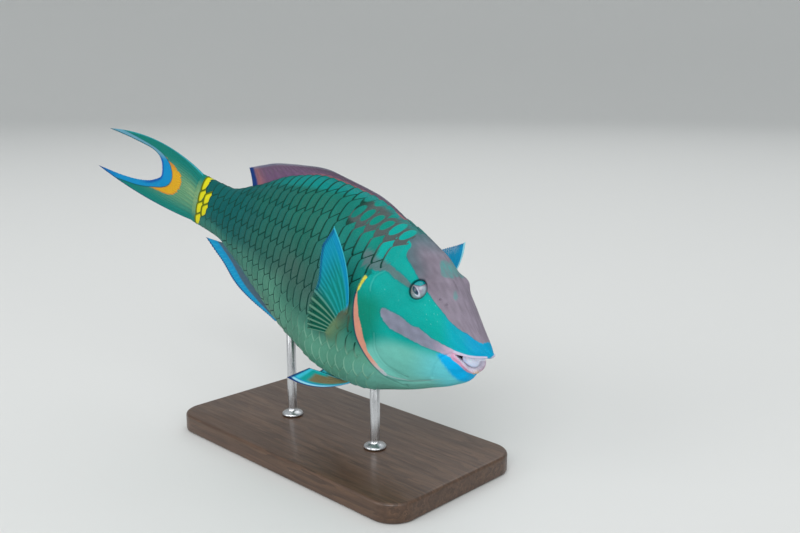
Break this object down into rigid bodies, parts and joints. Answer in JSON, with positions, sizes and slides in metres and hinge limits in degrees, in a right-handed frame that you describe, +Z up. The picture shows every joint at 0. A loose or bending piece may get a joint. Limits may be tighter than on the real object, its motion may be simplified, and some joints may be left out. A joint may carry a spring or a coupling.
{
  "type": "stoplight parrotfish display model",
  "caption": "Life-size still model of a male stoplight parrotfish in a slight dive, its pectoral fins raised, held above a flat wooden base by slim steel rods.",
  "frame": {"origin": "centre of the underside of the stand's base", "axes": "+Z up, +X the way the fish heads, +Y to the fish's left"},
  "size_m": [0.4387, 0.1334, 0.2226],
  "materials": {
    "stand_wood": "satin",
    "stand_steel": "brushed",
    "head_skin": "satin",
    "body_skin": "satin",
    "tail_skin": "satin",
    "fin_purple": "satin",
    "fin_blue": "satin",
    "fin_green": "satin",
    "tooth": "gloss",
    "eye": "gloss"
  },
  "bodies": {
    "root": {"stand_base": "stand_wood", "stand_rod_front": "stand_steel", "stand_rod_rear": "stand_steel", "head": "head_skin", "lower_jaw": "head_skin", "gill_cover_right": "head_skin", "gill_cover_left": "head_skin", "upper_tooth_plate": "tooth", "lower_tooth_plate": "tooth", "eye_right": "eye", "eye_left": "eye", "trunk": "body_skin", "tail_stem": "tail_skin", "dorsal_fin": "fin_purple", "anal_fin": "fin_blue", "caudal_fin": "fin_green", "pectoral_fin_right": "fin_blue", "pectoral_fin_left": "fin_blue", "pelvic_fin_right": "fin_green", "pelvic_fin_left": "fin_green"}
  },
  "joints": []
}
